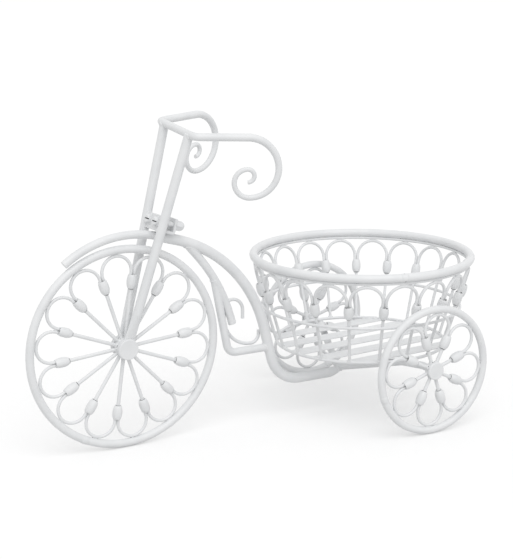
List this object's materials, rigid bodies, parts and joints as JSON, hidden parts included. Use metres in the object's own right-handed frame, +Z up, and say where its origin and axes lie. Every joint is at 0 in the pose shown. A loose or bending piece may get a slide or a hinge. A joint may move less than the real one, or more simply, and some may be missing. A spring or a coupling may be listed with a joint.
{
  "type": "tricycle planter",
  "caption": "White wire tricycle planter: petal-spoked wheels, bolted fork with scroll handlebar, bent-rod frame and a round open wire basket for a flower pot.",
  "frame": {"origin": "on the floor, under the middle of the stand's length and width", "axes": "+X towards the basket end, with the front wheel at -X; +Y towards the stand's right side; +Z up"},
  "size_m": [0.4866, 0.2412, 0.3149],
  "materials": {
    "frame_paint": "satin powder coat",
    "wheel_paint": "satin powder coat",
    "basket_paint": "satin powder coat",
    "fastener_paint": "satin powder coat"
  },
  "bodies": {
    "frame": {"front_axle": "fastener_paint", "front_axle_caps": "fastener_paint", "rear_left_axle_pin": "fastener_paint", "rear_right_axle_pin": "fastener_paint", "rear_left_axle_cap": "fastener_paint", "rear_right_axle_cap": "fastener_paint", "handlebar": "frame_paint", "fork_left_leg": "frame_paint", "fork_right_leg": "frame_paint", "fork_bridge_plate": "frame_paint", "bracket_bolts": "fastener_paint", "bracket_washers": "fastener_paint", "bracket_cap_nuts": "fastener_paint", "head_bracket": "frame_paint", "main_tube": "frame_paint", "mudguard": "frame_paint", "mudguard_tail": "frame_paint", "down_tube": "frame_paint", "frame_scroll": "frame_paint", "rear_yoke": "frame_paint", "basket_rim": "basket_paint", "basket_top_ring": "basket_paint", "basket_mid_ring": "basket_paint", "basket_bottom_ring": "basket_paint", "basket_ribs": "basket_paint", "basket_beads": "basket_paint", "basket_arches": "basket_paint", "basket_slats": "basket_paint"},
    "front_wheel": {"front_wheel_rim": "wheel_paint", "front_wheel_hub": "wheel_paint", "front_wheel_spokes": "wheel_paint", "front_wheel_beads": "wheel_paint", "front_wheel_petals": "wheel_paint"},
    "rear_left_wheel": {"rear_left_wheel_rim": "wheel_paint", "rear_left_wheel_hub": "wheel_paint", "rear_left_wheel_spokes": "wheel_paint", "rear_left_wheel_beads": "wheel_paint", "rear_left_wheel_petals": "wheel_paint"},
    "rear_right_wheel": {"rear_right_wheel_rim": "wheel_paint", "rear_right_wheel_hub": "wheel_paint", "rear_right_wheel_spokes": "wheel_paint", "rear_right_wheel_beads": "wheel_paint", "rear_right_wheel_petals": "wheel_paint"}
  },
  "joints": [
    {"name": "front_wheel_spin", "type": "hinge", "parent": "frame", "child": "front_wheel", "pos_m": [-0.14335, 0, 0.1], "axis": [0, 1, 0], "continuous": true},
    {"name": "rear_left_wheel_spin", "type": "hinge", "parent": "frame", "child": "rear_left_wheel", "pos_m": [0.13765, -0.11491, 0.0655], "axis": [0, 1, 0], "continuous": true},
    {"name": "rear_right_wheel_spin", "type": "hinge", "parent": "frame", "child": "rear_right_wheel", "pos_m": [0.13765, 0.11491, 0.0655], "axis": [0, 1, 0], "continuous": true}
  ]
}
